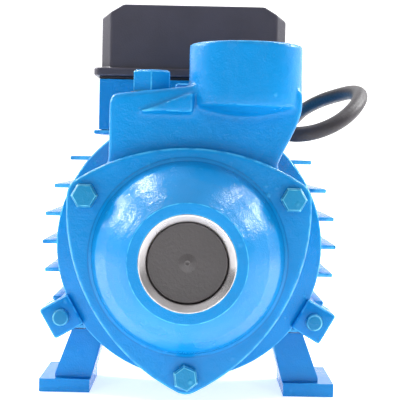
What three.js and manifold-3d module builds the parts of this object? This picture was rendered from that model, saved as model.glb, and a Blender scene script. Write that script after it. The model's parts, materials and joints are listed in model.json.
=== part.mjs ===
// Close-coupled centrifugal water pump with its motor, feet, terminal box and supply cable.
// Millimetres, +Z up. The group's origin is on the ground under the middle of the pump.
// Inside the group places are given from the shaft's axis: X to the right seen from the suction
// side, Y backwards along the shaft from the motor bracket's front face, Z up.
import * as THREE from 'three';
import { mergeVertices } from 'three/addons/utils/BufferGeometryUtils.js';
import Module from 'manifold-3d';

const wasm = await Module();
wasm.setup();

// ---- driving dimensions ----
const clearance = 0.3;              // between pieces that sit on or in each other
// facets of a round piece, by its size
const sides = { large: 32, wide: 24, medium: 16, small: 12, tiny: 8 };
const shaftHeight = 65.5;           // shaft axis above the ground

const bracket = {
  radius: 57.7, depth: 12, wall: 4, skirt: 3.7, hubRadius: 34, hubReach: 8, bearingHub: 21,
  lugWidth: 14.3, lugReach: 69.5, lugDepth: 9, boltCircle: 62.5,
};
const motor = {
  coreRadius: 56.5, boreRadius: 52, length: 97.7, finRadius: 64.3, finThickness: 1.8,
  finPitch: 12.3, finsEachWay: 3, topFin: 45.5, topFinHeight: 49, frameLug: 9.7,
};
const stack = { length: 60, front: 21, airGap: 0.5, rotorRadius: 27.5, windingReach: 14 };
const rotorShaft = { radius: 6, coreRadius: 8.5, tipRadius: 5, threadRadius: 4, frontTip: -42,
  pastFan: 8 };
const bearing = { radius: 16, width: 10, race: 2.1, pitchRadius: 11, ballRadius: 2.5, balls: 7 };
// G1 thread, at its minor radius
const port = { bore: 15.1, mouth: 17.9, chamfer: 2.5, threadDepth: 18 };
const casing = { depth: 34.4, chamberDepth: 20.7, chamberRadius: 36, sealPocket: 13, backWall: 3.7 };
const shoulder = { left: -31.7, leftTop: 62.3, ridgeX: 2.8, top: 66.5, right: 43.2, rightBend: 55.2,
  waist: 34.3, waistZ: 37.2 };
const discharge = { x: 21.2, radius: 22.3, under: 58, top: 82.9, throat: 9.5 };
const gusset = { x0: -18.4, x1: 0.65, z0: 55.6, z1: 62.9, proud: 2.5 };
const flange = { lobeCircle: 46, lobeRadius: 7, midSide: 42, depth: 7 };
const dome = { base: 36.9, face: 22, height: 25, spigot: 3.2 };
const coverBolt = { flats: 8.8, head: 3.6, shank: 2.5, reach: 14 };
const gasket = { width: 3.7, thickness: 1 };
const primer = { x: -15.8, y: -30, flats: 14.2, head: 8.2, stem: 6.4, reach: 11, spotFace: 9.5,
  seat: 62.6, washer: 1 };
const transitPlug = { disc: 1.8, depth: 10.5, wall: 1.5 };
const impeller = { radius: 33, neckGap: 0.5, neckWall: 1.6, shroud: 2, width: 8.1, hub: 9, blades: 6,
  bladeThickness: 1.8 };
const seal = { seatRadius: 10, faceRadius: 9.5, faceLength: 2.3, seatLength: 5.1, wire: 0.5, turns: 3 };
const slinger = { radius: 12, length: 3 };
const rearShield = { depth: 6.7, hubRadius: 21, hubReach: 4 };
const fanCover = { radius: 60, wall: 1.5, depth: 48, slots: 12, slotWidth: 6, slotFrom: 18, slotTo: 50 };
const fan = { radius: 50, hub: 10, length: 20, disc: 2, blades: 6, bladeThickness: 2, behindShield: 11 };
const foot = {
  outerX: 64.4, innerX: 42.3, plate: 5.8, frontY: 9, depth: 40, webSetBack: 3.4, webThickness: 4,
  webOuterTop: 50.3, webOuterFoot: 57.8, innerTop: 38.8, boltX: 53, boltY: 32, boltRadius: 4.2,
};
const terminal = {
  halfWidth: 43.3, frontY: 44, rearInset: 1, rimZ: 73.6, wall: 3, floorZ: 60, wireHole: 8,
  lidHalfWidth: 42.8, lidTop: 108.2, rim: 3.7, rimProud: 3, cutX: 10.2, cutZ: 6.1, cornerCut: 4.5,
    lidWall: 2.5,
};
const capacitor = { radius: 14, length: 55 };
const block = { width: 44, depth: 15, height: 14 };
const gland = { x: 22, z: 60.5, thread: 5.4, flats: 13, bodyLength: 5.5, nutLength: 14, noseRadius: 5 };
const cable = { radius: 3.3, sides: 8, spacing: 6.6 };
const coil = { x: 0, y: 224, innerTurn: 35.2, turns: 2, layers: 2 };
const plug = { x: -38.5, rearY: 223, length: 32, halfWidth: 17, halfHeight: 12, pin: 2.4,
  pinLength: 17, pinSpacing: 19, relief: 17 };

// ---- derived places along the shaft ----
const casingBack = -bracket.hubReach - clearance;
const casingFront = casingBack - casing.depth;
const flangeBack = casingFront - clearance;
const flangeFront = flangeBack - flange.depth;
const faceY = flangeFront - dome.height;
const dischargeY = casingFront + 10.7;
const chamberFloor = casingFront + casing.chamberDepth;
const frameFront = bracket.depth + clearance;
const frameRear = frameFront + motor.length;
const stackFront = frameFront + stack.front;
const stackRear = stackFront + stack.length;
const shieldFront = frameRear + clearance;
const shieldRear = shieldFront + rearShield.depth;
const fanFront = shieldRear + fan.behindShield;
const fanBack = fanFront + fan.length;
const fanCoverRear = shieldRear + fanCover.depth;
const shaftRearTip = fanBack + rotorShaft.pastFan;
const terminalRear = frameRear - terminal.rearInset;
const impellerNeck = port.bore - impeller.neckGap;
const impellerEye = impellerNeck - impeller.neckWall;
const frontBearingY = 1.6;
const rearBearingY = frameRear - 2.7;
const impellerFront = flangeBack + dome.spigot + 2.2;
const impellerRear = impellerFront + 2 * impeller.shroud + impeller.width + 0.5;
const pocketFloor = casingBack - casing.backWall;
const ground = -shaftHeight;
const rad = Math.PI / 180;

const pump = new THREE.Group();
pump.position.set(0, -(faceY + fanCoverRear) / 2, shaftHeight);

// ---- finishes ----
const finish = (color, roughness, metalness) => new THREE.MeshStandardMaterial({ color, roughness,
  metalness });
const blueEnamel = finish(0x1f96e1, 0.3, 0.0);
const tealEnamel = finish(0x2f9fb4, 0.35, 0.2);
const blackPlastic = finish(0x46444f, 0.6, 0.0);
const greyPlastic = finish(0x58545a, 0.6, 0.0);
const blackRubber = finish(0x463e4b, 0.6, 0.0);
const steel = finish(0xb8b8b8, 0.35, 0.9);
const brass = finish(0xb8923f, 0.35, 0.9);
const laminations = finish(0x8c8c90, 0.5, 0.7);
const copper = finish(0xb06a3a, 0.4, 0.6);
const ceramic = finish(0xe9e6df, 0.3, 0.0);
const carbon = finish(0x2b2b2d, 0.5, 0.0);
const fibre = finish(0x3a4048, 0.8, 0.0);

// ---- helpers ----
function add(name, geometry, material) {
  const mesh = new THREE.Mesh(geometry, material);
  mesh.name = name;
  pump.add(mesh);
}

// A closed mesh as a solid that can be joined and cut.
function solidOf(geometry) {
  const bare = geometry.clone();
  bare.deleteAttribute('normal');
  bare.deleteAttribute('uv');
  const merged = mergeVertices(bare, 1e-4);
  const corners = merged.index.array;
  const triangles = [];
  for (let i = 0; i < corners.length; i += 3) {
    const [a, b, c] = corners.slice(i, i + 3);
    if (a !== b && b !== c && c !== a) triangles.push(a, b, c);
  }
  const vertProperties = new Float32Array(merged.attributes.position.array);
  return new wasm.Manifold(new wasm.Mesh({ numProp: 3, vertProperties,
    triVerts: new Uint32Array(triangles) }));
}

function geometryOf(solid) {
  const mesh = solid.getMesh();
  const geometry = new THREE.BufferGeometry();
  geometry.setAttribute('position', new THREE.BufferAttribute(new Float32Array(mesh.vertProperties), 3));
  geometry.setIndex(new THREE.BufferAttribute(new Uint32Array(mesh.triVerts), 1));
  return geometry;
}

// Joins the first list of geometries and cuts the second list out of them.
function shaped(joined, cuts = []) {
  let solid = solidOf(joined[0]);
  for (const piece of joined.slice(1)) solid = solid.add(solidOf(piece));
  for (const piece of cuts) solid = solid.subtract(solidOf(piece));
  return geometryOf(solid);
}

// A profile of [radius, y] turned about the Y axis, closed on itself unless both ends are on the axis.
function turned(profile, steps = sides.medium) {
  let area = 0;
  profile.forEach(([r, y], i) => {
    const [r2, y2] = profile[(i + 1) % profile.length];
    area += r * y2 - r2 * y;
  });
  const points = profile.map(([r, y]) => new THREE.Vector2(r, y));
  if (area < 0) points.reverse();
  if (points[0].x > 0 || points.at(-1).x > 0) points.push(points[0].clone());
  return new THREE.LatheGeometry(points, steps);
}

const rodY = (r, y0, y1, x = 0, z = 0, steps = sides.medium) =>
  turned([[0, y0], [r, y0], [r, y1], [0, y1]], steps).translate(x, 0, z);
const ringY = (inner, outer, y0, y1, steps = sides.medium) =>
  turned([[inner, y0], [outer, y0], [outer, y1], [inner, y1]], steps);
const uprightTurned = (profile, x, y, steps = sides.medium) => turned(profile,
  steps).rotateX(Math.PI / 2).translate(x, y, 0);
const rodZ = (r, z0, z1, x, y, steps = sides.medium) => uprightTurned([[0, z0], [r, z0], [r, z1], [0,
  z1]], x, y, steps);
const box = (x0, x1, y0, y1, z0, z1) =>
  new THREE.BoxGeometry(x1 - x0, y1 - y0, z1 - z0).translate((x0 + x1) / 2, (y0 + y1) / 2, (z0 + z1) / 2);
const outline = (points) => new THREE.Shape(points.map(([x, y]) => new THREE.Vector2(x, y)));
const plateZ = (points, z0, z1) =>
  new THREE.ExtrudeGeometry(outline(points), { depth: z1 - z0, bevelEnabled: false }).translate(0, 0, z0);
const plateY = (points, y0, y1) =>
  new THREE.ExtrudeGeometry(outline(points), { depth: y1 - y0, bevelEnabled: false })
    .rotateX(Math.PI / 2).translate(0, y1, 0);

// Points of an arc, its angles in degrees, both ends included.
function arc(cx, cz, radius, from, to, steps) {
  const points = [];
  for (let i = 0; i <= steps; i++) {
    const angle = (from + (to - from) * i / steps) * rad;
    points.push([cx + radius * Math.cos(angle), cz + radius * Math.sin(angle)]);
  }
  return points;
}

const hexagon = (flats, turn = 0) => arc(0, 0, flats / 2 / Math.cos(30 * rad), turn, turn + 300, 5);
const around = (radius, degrees) => [radius * Math.cos(degrees * rad), radius * Math.sin(degrees * rad)];

// A round tube of a few sides along a smooth curve through the points.
function hoseAlong(points, radius, facets, steps) {
  const path = new THREE.CatmullRomCurve3(points.map(([x, y, z]) => new THREE.Vector3(x, y, z)));
  const section = outline(arc(0, 0, radius, 0, 360 - 360 / facets, facets - 1));
  return new THREE.ExtrudeGeometry(section, { steps, extrudePath: path, bevelEnabled: false });
}

// ---- front cover with the suction port ----
const lobeAngles = [30, 150, 270];

// Three lobes joined by wide arcs that touch them: a rounded triangle.
function flangeOutline() {
  const { lobeCircle: a, lobeRadius: r, midSide } = flange;
  const inset = ((midSide - r) ** 2 - a ** 2) / (a - 2 * (midSide - r));
  const half = Math.atan2(a * Math.sin(60 * rad), inset + a / 2) / rad;
  const points = [];
  for (const lobe of lobeAngles) {
    const [x, z] = around(a, lobe);
    const [sx, sz] = around(-inset, lobe + 60);
    points.push(...arc(x, z, r, lobe - 60 + half, lobe + 60 - half, 6).slice(0, -1));
    points.push(...arc(sx, sz, inset + midSide, lobe + 60 - half, lobe + 60 + half, 8).slice(0, -1));
  }
  return points;
}

const coverSpigotRadius = casing.chamberRadius - clearance;
const boltHole = coverBolt.shank + clearance;
const domeProfile = [
  [0, faceY], [dome.face, faceY], [dome.face + 2.6, faceY + 3.2], [dome.base - 6.6, faceY + 10.5],
  [dome.base - 2.2, flangeFront - 6.5], [dome.base, flangeFront], [dome.base, flangeFront + 2], [0,
    flangeFront + 2],
];
const coverHoles = lobeAngles.map((angle) => rodY(boltHole, flangeFront - 1, casingFront + 1,
  ...around(flange.lobeCircle, angle), sides.tiny));
add('front_cover', shaped(
  [
    turned(domeProfile, sides.wide),
    plateY(flangeOutline(), flangeFront, flangeBack),
    rodY(coverSpigotRadius, flangeBack - 1, flangeBack + dome.spigot, 0, 0, sides.wide),
  ],
  [
    rodY(port.bore, faceY - 1, flangeBack + dome.spigot + 1, 0, 0, sides.wide),
    turned([[0, faceY - 1], [port.mouth + 1.12, faceY - 1], [port.bore, faceY + port.chamfer], [0,
      faceY + port.chamfer]], sides.wide),
    ...coverHoles,
  ],
), blueEnamel);

lobeAngles.forEach((angle, i) => {
  const [x, z] = around(flange.lobeCircle, angle);
  const headBack = flangeFront - clearance;
  add(`cover_bolt_${i + 1}`, shaped([
    plateY(hexagon(coverBolt.flats, i === 2 ? 38 : 0), headBack - coverBolt.head, headBack),
    rodY(coverBolt.shank, headBack - 1, casingFront + coverBolt.reach, 0, 0, sides.tiny),
  ]).translate(x, 0, z), tealEnamel);
});

const plugFront = faceY + port.chamfer;
const plugRadius = port.bore - clearance;
add('suction_plug', turned([
  [0, plugFront], [plugRadius, plugFront], [plugRadius, plugFront + transitPlug.depth],
  [plugRadius - transitPlug.wall, plugFront + transitPlug.depth],
  [plugRadius - transitPlug.wall, plugFront + transitPlug.disc], [0, plugFront + transitPlug.disc],
]), greyPlastic);

const gasketInner = casing.chamberRadius + clearance;
const gasketOuter = gasketInner + gasket.width;
add('cover_gasket', ringY(gasketInner, gasketOuter, casingFront, casingFront + gasket.thickness,
  sides.wide), fibre);

// ---- casing: volute, shoulder with the priming hole, discharge boss ----
const shoulderOutline = [
  [shoulder.left, 0], [shoulder.waist, 0], [shoulder.waist, shoulder.waistZ], [shoulder.right,
    shoulder.rightBend],
  [shoulder.right, shoulder.top], [shoulder.ridgeX, shoulder.top], [shoulder.left, shoulder.leftTop],
];
const gussetOutline = [[gusset.x0, gusset.z0], [gusset.x1, gusset.z0], [gusset.x1, gusset.z1]];
const boltTip = casingFront + coverBolt.reach + clearance;
add('pump_casing', shaped(
  [
    plateY(flangeOutline(), casingFront, casingBack),
    plateY(shoulderOutline, casingFront, casingBack),
    plateY(gussetOutline, casingFront - gusset.proud, casingFront + 2),
    rodZ(discharge.radius, discharge.under, discharge.top, discharge.x, dischargeY, sides.wide),
  ],
  [
    rodY(casing.chamberRadius, casingFront - 1, chamberFloor, 0, 0, sides.wide),
    ringY(casing.chamberRadius - 1, gasketOuter + clearance, casingFront - 1,
      casingFront + gasket.thickness + clearance, sides.wide),
    rodY(casing.sealPocket, chamberFloor - 1, pocketFloor, 0, 0),
    rodY(rotorShaft.radius + 1.5, pocketFloor - 1, casingBack + 1, 0, 0),
    rodZ(port.bore, discharge.top - port.threadDepth, discharge.top + 1, discharge.x, dischargeY,
      sides.wide),
    uprightTurned([[0, discharge.top + 1], [port.mouth + 1.12, discharge.top + 1],
      [port.bore, discharge.top - port.chamfer], [0, discharge.top - port.chamfer]], discharge.x,
        dischargeY, sides.wide),
    rodZ(discharge.throat, casing.chamberRadius / 2, discharge.top - port.threadDepth + 1, discharge.x,
      dischargeY),
    rodZ(primer.stem + clearance, casing.chamberRadius - 14, shoulder.top + 1, primer.x, primer.y,
      sides.small),
    rodZ(primer.spotFace, primer.seat, shoulder.top + 1, primer.x, primer.y),
    ...lobeAngles.map((angle) => rodY(boltHole, casingFront - 1, boltTip, ...around(flange.lobeCircle,
      angle), sides.tiny)),
  ],
), blueEnamel);

const washerBase = primer.seat + clearance;
const washerTop = washerBase + primer.washer;
add('priming_washer', uprightTurned([
  [primer.stem + clearance, washerBase], [primer.stem + 2.2, washerBase],
  [primer.stem + 2.2, washerTop], [primer.stem + clearance, washerTop],
], primer.x, primer.y, sides.small), fibre);
add('priming_plug', shaped([
  plateZ(hexagon(primer.flats, -90), washerTop + clearance, washerTop + clearance + primer.head),
  rodZ(primer.stem, primer.seat - primer.reach, washerTop + 1, 0, 0, sides.small),
]).translate(primer.x, primer.y, 0), blueEnamel);

// ---- motor bracket between casing and frame ----
const lugAngles = [90, 210, 330];
const lugHole = coverBolt.shank + clearance;

// A lug that stands out of a round rim, from the rim's wall to its reach.
const lug = (y0, y1, reach, width) =>
  lugAngles.map((angle) => box(bracket.radius - 3.7, reach, y0, y1, -width / 2,
    width / 2).rotateY(-angle * rad));
const lugBores = (y0, y1) => lugAngles.map((angle) => rodY(lugHole, y0, y1,
  ...around(bracket.boltCircle, angle), sides.tiny));

const seatRadius = bearing.radius + clearance;
const bearingHubRear = frontBearingY + bearing.width + 2.4;
add('front_bracket', shaped(
  [
    turned([
      [slinger.radius + 2, casingBack + clearance], [bracket.hubRadius, casingBack + clearance],
      [bracket.hubRadius, 0], [bracket.radius - 3.2, 0], [bracket.radius - 0.9, 0.8], [bracket.radius,
        2.8],
      [bracket.radius, bracket.depth], [bracket.radius - bracket.skirt, bracket.depth],
      [bracket.radius - bracket.skirt, bracket.wall], [bracket.bearingHub, bracket.wall],
      [bracket.bearingHub, bearingHubRear], [seatRadius, bearingHubRear],
      [seatRadius, frontBearingY - clearance], [rotorShaft.radius + 2, frontBearingY - clearance],
      [rotorShaft.radius + 2, -1.5], [slinger.radius + 2, -1.5],
    ], sides.large),
    ...lug(0, bracket.lugDepth, bracket.lugReach, bracket.lugWidth),
  ],
  lugBores(-1, bracket.depth + 1),
), blueEnamel);

lugAngles.forEach((angle, i) => {
  const [x, z] = around(bracket.boltCircle, angle);
  add(`bracket_bolt_${i + 1}`, shaped([
    rodY(3.7, -clearance - 3, -clearance, 0, 0, sides.small),
    rodY(coverBolt.shank, -clearance - 1, frameFront + 7, 0, 0, sides.tiny),
  ]).translate(x, 0, z), tealEnamel);
});

// ---- motor frame with its fins ----
const finHeights = [];
for (let i = -motor.finsEachWay; i <= motor.finsEachWay; i++) finHeights.push(i * motor.finPitch);
const fins = finHeights.map((z) => {
  const reach = Math.sqrt(motor.finRadius ** 2 - z ** 2);
  return box(-reach, reach, frameFront, frameRear, z - motor.finThickness / 2, z + motor.finThickness / 2);
});
const topFinZ = motor.topFinHeight;
fins.push(box(-motor.topFin, motor.topFin, terminal.frontY, frameRear,
  topFinZ - motor.finThickness / 2, topFinZ + motor.finThickness / 2));
add('motor_frame', shaped(
  [
    rodY(motor.coreRadius, frameFront, frameRear, 0, 0, sides.large),
    ...fins,
    ...lug(frameFront, frameFront + motor.frameLug, bracket.lugReach - 0.5, bracket.lugWidth),
  ],
  [
    rodY(motor.boreRadius, frameFront - 1, frameRear + 1, 0, 0, sides.wide),
    rodZ(terminal.wireHole, motor.boreRadius - 5, motor.coreRadius + 8, 0,
      (terminal.frontY + terminalRear) / 2, sides.small),
    ...lugBores(frameFront - 1, frameFront + 8),
  ],
), blueEnamel);

// ---- feet, bolted under the frame ----
const webY = foot.frontY + foot.webSetBack;
const footRear = foot.frontY + foot.depth;
const lowestFin = -motor.finsEachWay * motor.finPitch - motor.finThickness / 2 - clearance;
const plateTop = ground + foot.plate;
const webOutline = [
  [foot.innerX, plateTop - 1], [foot.webOuterFoot, plateTop - 1], [foot.webOuterFoot, plateTop + 2],
  [foot.webOuterTop, lowestFin + 1], [foot.innerTop - 4, lowestFin + 6], [foot.innerTop, lowestFin - 6.6],
];
const sideOutline = [
  [foot.innerX, plateTop - 1], [foot.innerX + foot.webThickness, plateTop - 1],
  [foot.innerTop + foot.webThickness, lowestFin + 1], [foot.innerTop - 3, lowestFin + 1],
];
const lugRoom = box(
  bracket.radius - 10, bracket.lugReach + clearance, 0, frameFront + motor.frameLug + clearance,
  -bracket.lugWidth / 2 - clearance, bracket.lugWidth / 2 + clearance,
).rotateY(-lugAngles[2] * rad);
const footGeometry = shaped(
  [
    box(foot.innerX, foot.outerX, foot.frontY, footRear, ground, plateTop),
    plateY(webOutline, webY, webY + foot.webThickness),
    plateY(sideOutline, webY + 1, footRear - 2),
  ],
  [
    rodY(motor.coreRadius + clearance, 0, footRear + 5, 0, 0, sides.large),
    box(0, motor.finRadius + 20, 0, footRear + 5, lowestFin, 0),
    lugRoom,
    rodZ(foot.boltRadius, ground - 1, plateTop + 1, foot.boltX, foot.boltY, sides.small),
  ],
);
add('foot_right', footGeometry, blueEnamel);
add('foot_left', footGeometry, blueEnamel);
pump.children.at(-1).scale.x = -1;

// ---- rear of the motor: shield, fan and its cover ----
const rearHubBack = shieldRear + rearShield.hubReach;
const rearSeatBack = rearBearingY + bearing.width + 1;
const shieldFrontHub = rearBearingY - clearance;
const screwAngles = [90, 210, 330];
const coverFront = shieldFront + 1.7;
const screwY = (coverFront + shieldRear) / 2;

// A round rod that points straight out from the shaft's axis.
const spoke = (r, from, to, y, angle, steps) =>
  turned([[0, from], [r, from], [r, to], [0, to]], steps).rotateZ(-Math.PI / 2).translate(0, y,
    0).rotateY(-angle * rad);

const screw = { shank: 1.5, head: 2.8, headHeight: 1.8, length: 8 };
const screwHoles = screwAngles.map((angle) =>
  spoke(screw.shank + clearance, fanCover.radius - screw.length - 1, fanCover.radius + 1, screwY,
    angle, sides.tiny));
add('rear_end_shield', shaped([turned([
  [seatRadius, shieldFrontHub], [rearShield.hubRadius, shieldFrontHub], [rearShield.hubRadius,
    shieldFront],
  [motor.coreRadius, shieldFront], [motor.coreRadius, shieldRear], [rearShield.hubRadius, shieldRear],
  [rearShield.hubRadius, rearHubBack], [rotorShaft.radius + 2, rearHubBack],
  [rotorShaft.radius + 2, rearSeatBack], [seatRadius, rearSeatBack],
], sides.wide)], screwHoles), blueEnamel);

const coverInner = fanCover.radius - fanCover.wall;
const vents = [];
for (let i = 0; i < fanCover.slots; i++) {
  vents.push(box(fanCover.slotFrom, fanCover.slotTo, fanCoverRear - 5, fanCoverRear + 1,
    -fanCover.slotWidth / 2, fanCover.slotWidth / 2).rotateY(i * 360 / fanCover.slots * rad));
}
add('fan_cover', shaped([turned([
  [coverInner, coverFront], [fanCover.radius, coverFront], [fanCover.radius, fanCoverRear - 6],
  [fanCover.radius - 2, fanCoverRear - 1.8], [fanCover.radius - 6, fanCoverRear], [0, fanCoverRear],
  [0, fanCoverRear - fanCover.wall], [fanCover.radius - 6.6, fanCoverRear - fanCover.wall],
  [coverInner - 1.8, fanCoverRear - 3], [coverInner, fanCoverRear - 6.4],
], sides.wide)], [...vents, ...screwHoles]), blueEnamel);
screwAngles.forEach((angle, i) => {
  const headBase = fanCover.radius + clearance;
  add(`fan_cover_screw_${i + 1}`, shaped([
    spoke(screw.shank, fanCover.radius - screw.length, headBase + 1, screwY, angle, sides.tiny),
    spoke(screw.head, headBase, headBase + screw.headHeight, screwY, angle, sides.tiny),
  ]), steel);
});

const tipBore = rotorShaft.tipRadius + clearance;
const fanDisc = fanBack - fan.disc;
const fanBlade = (angle) =>
  box(fan.hub - 1, fan.radius, fanFront, fanDisc + 1, -fan.bladeThickness / 2,
    fan.bladeThickness / 2).rotateY(-angle * rad);
const fanBlades = [];
for (let i = 0; i < fan.blades; i++) fanBlades.push(fanBlade(i * 360 / fan.blades));
add('fan', shaped(
  [ringY(tipBore, fan.hub, fanFront, fanBack), ringY(fan.hub - 1, fan.radius, fanDisc, fanBack),
    ...fanBlades],
), blackPlastic);
add('fan_clip', ringY(tipBore, rotorShaft.tipRadius + 4, fanBack + clearance, fanBack + 1.3,
  sides.small), steel);

// ---- stator ----
const statorRadius = motor.boreRadius - clearance;
add('stator_core', ringY(stack.rotorRadius + stack.airGap, statorRadius, stackFront, stackRear,
  sides.wide), laminations);
function winding(y0, y1) {
  const inner = stack.rotorRadius + 2.5;
  const outer = statorRadius - 3;
  return turned([[inner + 3, y0], [outer - 3, y0], [outer, y0 + 3], [outer, y1 - 3], [outer - 3, y1],
    [inner + 3, y1], [inner, y1 - 3], [inner, y0 + 3]]);
}
add('winding_front', winding(stackFront - clearance - stack.windingReach, stackFront - clearance), copper);
add('winding_rear', winding(stackRear + clearance, frameRear - 5), copper);

// ---- rotor ----
const keyWidth = 3;
const keyway = impellerFront + 2;
const coreFront = frameFront + 3.7;
const coreRear = rearBearingY - clearance - 3;
add('shaft', shaped(
  [turned([
    [0, rotorShaft.frontTip], [rotorShaft.threadRadius, rotorShaft.frontTip],
    [rotorShaft.threadRadius, impellerFront - clearance], [rotorShaft.tipRadius,
      impellerFront - clearance],
    [rotorShaft.tipRadius, impellerRear + clearance], [rotorShaft.radius, impellerRear + clearance],
    [rotorShaft.radius, coreFront], [rotorShaft.coreRadius, coreFront], [rotorShaft.coreRadius, coreRear],
    [rotorShaft.radius, coreRear], [rotorShaft.radius, rearHubBack + 1], [rotorShaft.tipRadius,
      rearHubBack + 1],
    [rotorShaft.tipRadius, shaftRearTip], [0, shaftRearTip],
  ], sides.small)],
  [box(-keyWidth / 2 - clearance, keyWidth / 2 + clearance, keyway, impellerRear - 1.5,
    rotorShaft.tipRadius - 1.8, rotorShaft.tipRadius + 2)],
), steel);
add('impeller_key', box(-keyWidth / 2, keyWidth / 2, keyway + clearance, impellerRear - 1.8,
  rotorShaft.tipRadius - 1.5, rotorShaft.tipRadius + 1.3), steel);
add('rotor_core', ringY(rotorShaft.coreRadius + clearance, stack.rotorRadius, stackFront, stackRear),
  laminations);

// Blades run back from the eye on a curve, so the impeller turns with its outer ends trailing.
const bladeFront = impellerFront + impeller.shroud;
const bladeBack = bladeFront + impeller.width;
function blade(turn) {
  const steps = 6;
  const near = [];
  const far = [];
  for (let i = 0; i <= steps; i++) {
    const r = impellerEye + (impeller.radius - 0.5 - impellerEye) * i / steps;
    const angle = turn + 62 * i / steps;
    const half = impeller.bladeThickness / 2 / r / rad;
    near.push(around(r, angle - half));
    far.unshift(around(r, angle + half));
  }
  return plateY([...near, ...far], bladeFront - 0.5, bladeBack + 0.5);
}
const blades = [];
for (let i = 0; i < impeller.blades; i++) blades.push(blade(i * 360 / impeller.blades));
const keySlot = box(-keyWidth / 2 - clearance, keyWidth / 2 + clearance, impellerFront - 1,
  impellerRear + 1,
  0, rotorShaft.tipRadius + 1.6);
add('impeller', shaped(
  [
    ringY(impellerEye, impellerNeck, impellerFront - 4, impellerFront + 1),
    ringY(impellerEye, impeller.radius, impellerFront, bladeFront),
    ringY(tipBore, impeller.radius, bladeBack, bladeBack + impeller.shroud),
    ringY(tipBore, impeller.hub, impellerFront, impellerRear),
    ...blades,
  ],
  [keySlot],
), brass);
const nutFlats = 11;
add('impeller_nut', shaped(
  [plateY(hexagon(nutFlats), rotorShaft.frontTip + 0.4, impellerFront - clearance)],
  [rodY(rotorShaft.threadRadius + clearance, rotorShaft.frontTip - 1, impellerFront, 0, 0, sides.small)],
), brass);

// ---- shaft seal and slinger ----
const onShaft = rotorShaft.radius + clearance;
const seatFront = pocketFloor - clearance - seal.seatLength;
const faceBack = seatFront - clearance;
const faceFront = faceBack - seal.faceLength;
add('seal_seat', ringY(onShaft + 0.5, seal.seatRadius, seatFront, pocketFloor - clearance), ceramic);
add('seal_seat_boot', ringY(seal.seatRadius + clearance, casing.sealPocket - clearance, seatFront + 0.8,
  pocketFloor - clearance), blackRubber);
add('seal_face', ringY(onShaft, seal.faceRadius, faceFront, faceBack), carbon);
const springFrom = impellerRear + clearance + seal.wire;
const springTo = faceFront - clearance - seal.wire;
const springPoints = [];
for (let i = 0; i <= seal.turns * 10; i++) {
  const [x, z] = around(seal.faceRadius - 1, i * 36);
  springPoints.push([x, springFrom + (springTo - springFrom) * i / (seal.turns * 10), z]);
}
add('seal_spring', hoseAlong(springPoints, seal.wire, 5, seal.turns * 9), steel);
add('slinger', ringY(onShaft, slinger.radius, -bracket.hubReach + 1.5,
  -bracket.hubReach + 1.5 + slinger.length), blackRubber);

// ---- bearings ----
function addBearing(where, y) {
  const { radius, width, race, pitchRadius, ballRadius, balls } = bearing;
  const innerRace = ringY(onShaft, pitchRadius - ballRadius - clearance, y, y + width);
  const middle = y + width / 2;
  const cage = [ringY(pitchRadius - 1, pitchRadius + 1, middle - 1, middle + 1)];
  for (let i = 0; i < balls; i++) {
    const [x, z] = around(pitchRadius, i * 360 / balls);
    cage.push(new THREE.SphereGeometry(ballRadius, 6, 4).translate(x, middle, z));
  }
  add(`${where}_bearing_outer_race`, ringY(radius - race, radius, y, y + width), steel);
  add(`${where}_bearing_inner_race`, innerRace, steel);
  add(`${where}_bearing_ball_cage`, shaped(cage), steel);
}
addBearing('front', frontBearingY);
addBearing('rear', rearBearingY);
add('wave_washer', ringY(bearing.radius - 6, bearing.radius - 0.2,
  rearBearingY + bearing.width + clearance,
  rearSeatBack - clearance), steel);

// ---- terminal box ----
const baseBottom = topFinZ + motor.finThickness / 2 + clearance;
const { halfWidth, frontY, rimZ, wall } = terminal;
const rearY = terminalRear;
const boxMiddle = (frontY + rearY) / 2;
const glandHole = (y0, y1) => rodY(gland.thread + clearance, y0, y1, gland.x, gland.z, sides.small);
add('terminal_base', shaped(
  [box(-halfWidth, halfWidth, frontY, rearY, baseBottom, rimZ)],
  [
    rodY(motor.coreRadius + clearance, frontY - 1, rearY + 1, 0, 0, sides.large),
    box(-halfWidth + wall, halfWidth - wall, frontY + wall, rearY - wall, terminal.floorZ, rimZ + 1),
    rodZ(terminal.wireHole, motor.coreRadius - 6, terminal.floorZ + 1, 0, boxMiddle, sides.small),
    glandHole(frontY - 1, frontY + 12),
  ],
), blueEnamel);

const cornered = (x, y0, y1, cut) => [
  [-x + cut, y0], [x - cut, y0], [x, y0 + cut], [x, y1 - cut], [x - cut, y1], [-x + cut, y1], [-x,
    y1 - cut], [-x, y0 + cut],
];
// The lid's block: cut along both upper side edges and at its four upright corners.
function lidBlock(inset, bottom) {
  const x = terminal.lidHalfWidth - inset;
  const top = terminal.lidTop - inset;
  const section = [[-x, bottom], [x, bottom], [x, top - terminal.cutZ], [x - terminal.cutX, top],
    [-x + terminal.cutX, top], [-x, top - terminal.cutZ]];
  const long = solidOf(plateY(section, frontY + inset, rearY - inset));
  const plan = solidOf(plateZ(cornered(x, frontY + inset, rearY - inset, terminal.cornerCut), bottom,
    top));
  return long.intersect(plan);
}
const lidBottom = rimZ + 2 * clearance + 0.8;
const rimOut = terminal.rimProud;
const rimPlate = plateZ(cornered(terminal.lidHalfWidth + rimOut, frontY - rimOut, rearY + rimOut, 2),
  lidBottom, lidBottom + terminal.rim);
const lidSolid = lidBlock(0, lidBottom).add(solidOf(rimPlate)).subtract(lidBlock(terminal.lidWall,
  lidBottom - 1));
add('terminal_lid', geometryOf(lidSolid), blackPlastic);
add('lid_gasket', shaped(
  [box(-halfWidth, halfWidth, frontY, rearY, rimZ + clearance, lidBottom - clearance)],
  [box(-halfWidth + wall, halfWidth - wall, frontY + wall, rearY - wall, rimZ, lidBottom)],
), blackRubber);

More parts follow.
